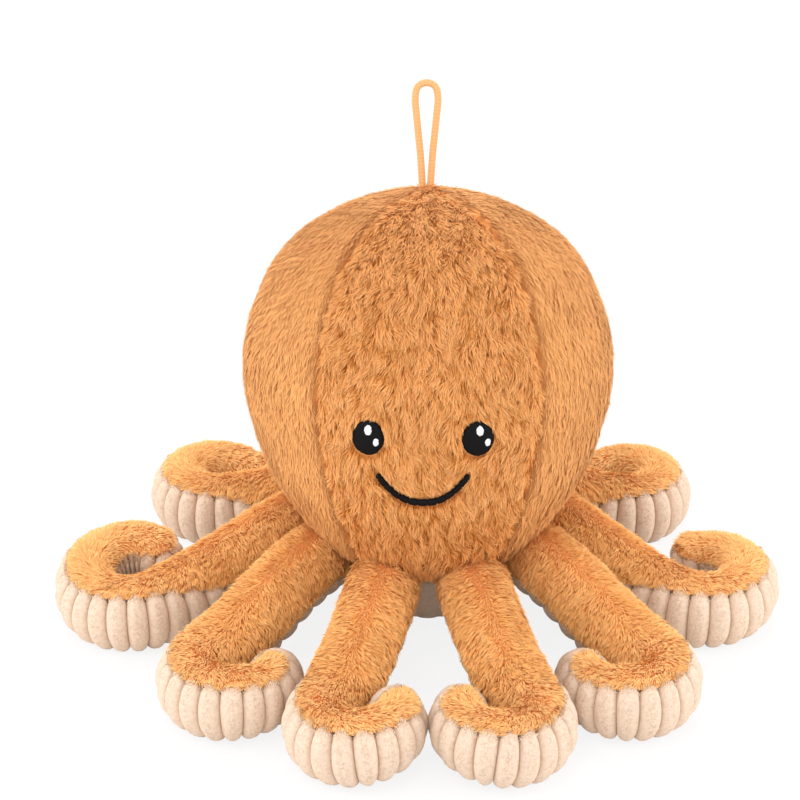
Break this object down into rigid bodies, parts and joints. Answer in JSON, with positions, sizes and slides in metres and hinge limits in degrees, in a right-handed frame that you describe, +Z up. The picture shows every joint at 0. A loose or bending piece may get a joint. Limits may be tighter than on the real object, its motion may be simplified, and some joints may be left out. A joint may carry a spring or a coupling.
{
  "type": "plush octopus",
  "caption": "Stuffed plush octopus with a panelled round head, embroidered eyes and smile, curled tentacles with ribbed undersides and a cord hanging loop.",
  "frame": {"origin": "centre of the flat underside of the base panel, on the surface the toy sits on", "axes": "+Z up, -Y the way the face looks, +X to the right when the face is looked at"},
  "size_m": [0.2688, 0.2189, 0.197],
  "materials": {
    "plush": "short brushed pile plush, warm tan",
    "ribbed_fleece": "soft ribbed fleece, cream",
    "filling": "loose polyester fibre filling, white",
    "black_thread": "satin stitch embroidery, black",
    "white_thread": "satin stitch embroidery, white",
    "loop_cord": "soft knitted cord, tan"
  },
  "bodies": {
    "body": {"face_panel": "plush", "right_side_panel": "plush", "right_back_panel": "plush", "left_back_panel": "plush", "left_side_panel": "plush", "base_panel": "ribbed_fleece", "body_stuffing": "filling", "left_eye": "black_thread", "left_eye_large_glint": "white_thread", "left_eye_small_glint": "white_thread", "right_eye": "black_thread", "right_eye_large_glint": "white_thread", "right_eye_small_glint": "white_thread", "smile": "black_thread"},
    "left_front_tentacle": {"left_front_plush_cover": "plush", "left_front_ribbed_strip": "ribbed_fleece", "left_front_stuffing": "filling"},
    "left_mid_front_tentacle": {"left_mid_front_plush_cover": "plush", "left_mid_front_ribbed_strip": "ribbed_fleece", "left_mid_front_stuffing": "filling"},
    "left_mid_back_tentacle": {"left_mid_back_plush_cover": "plush", "left_mid_back_ribbed_strip": "ribbed_fleece", "left_mid_back_stuffing": "filling"},
    "left_back_tentacle": {"left_back_plush_cover": "plush", "left_back_ribbed_strip": "ribbed_fleece", "left_back_stuffing": "filling"},
    "right_front_tentacle": {"right_front_plush_cover": "plush", "right_front_ribbed_strip": "ribbed_fleece", "right_front_stuffing": "filling"},
    "right_mid_front_tentacle": {"right_mid_front_plush_cover": "plush", "right_mid_front_ribbed_strip": "ribbed_fleece", "right_mid_front_stuffing": "filling"},
    "right_mid_back_tentacle": {"right_mid_back_plush_cover": "plush", "right_mid_back_ribbed_strip": "ribbed_fleece", "right_mid_back_stuffing": "filling"},
    "right_back_tentacle": {"right_back_plush_cover": "plush", "right_back_ribbed_strip": "ribbed_fleece", "right_back_stuffing": "filling"},
    "loop": {"hanging_loop": "loop_cord"}
  },
  "joints": [
    {"name": "left_front_lift", "type": "hinge", "parent": "body", "child": "left_front_tentacle", "pos_m": [-0.01645, -0.03973, 0.03], "axis": [-0.9922, 0.1246, 0], "range_deg": [-12, 26], "stiffness_Nm_per_rad": 0.03},
    {"name": "left_mid_front_lift", "type": "hinge", "parent": "body", "child": "left_mid_front_tentacle", "pos_m": [-0.03973, -0.01645, 0.03], "axis": [-0.8972, 0.4417, 0], "range_deg": [-12, 26], "stiffness_Nm_per_rad": 0.03},
    {"name": "left_mid_back_lift", "type": "hinge", "parent": "body", "child": "left_mid_back_tentacle", "pos_m": [-0.03973, 0.01645, 0.03], "axis": [-0.3602, 0.9329, 0], "range_deg": [-12, 26], "stiffness_Nm_per_rad": 0.03},
    {"name": "left_back_lift", "type": "hinge", "parent": "body", "child": "left_back_tentacle", "pos_m": [-0.01645, 0.03973, 0.03], "axis": [0.3596, 0.9331, 0], "range_deg": [-12, 26], "stiffness_Nm_per_rad": 0.03},
    {"name": "right_front_lift", "type": "hinge", "parent": "body", "child": "right_front_tentacle", "pos_m": [0.01645, -0.03973, 0.03], "axis": [-0.9934, -0.1144, 0], "range_deg": [-12, 26], "stiffness_Nm_per_rad": 0.03},
    {"name": "right_mid_front_lift", "type": "hinge", "parent": "body", "child": "right_mid_front_tentacle", "pos_m": [0.03973, -0.01645, 0.03], "axis": [-0.8972, -0.4417, 0], "range_deg": [-12, 26], "stiffness_Nm_per_rad": 0.03},
    {"name": "right_mid_back_lift", "type": "hinge", "parent": "body", "child": "right_mid_back_tentacle", "pos_m": [0.03973, 0.01645, 0.03], "axis": [-0.3791, -0.9254, 0], "range_deg": [-12, 26], "stiffness_Nm_per_rad": 0.03},
    {"name": "right_back_lift", "type": "hinge", "parent": "body", "child": "right_back_tentacle", "pos_m": [0.01645, 0.03973, 0.03], "axis": [0.3534, -0.9355, 0], "range_deg": [-12, 26], "stiffness_Nm_per_rad": 0.03},
    {"name": "loop_swing", "type": "hinge", "parent": "body", "child": "loop", "pos_m": [-0.0007, 0.02756, 0.15888], "axis": [1, 0, 0], "range_deg": [-35, 35], "stiffness_Nm_per_rad": 0.0005}
  ]
}
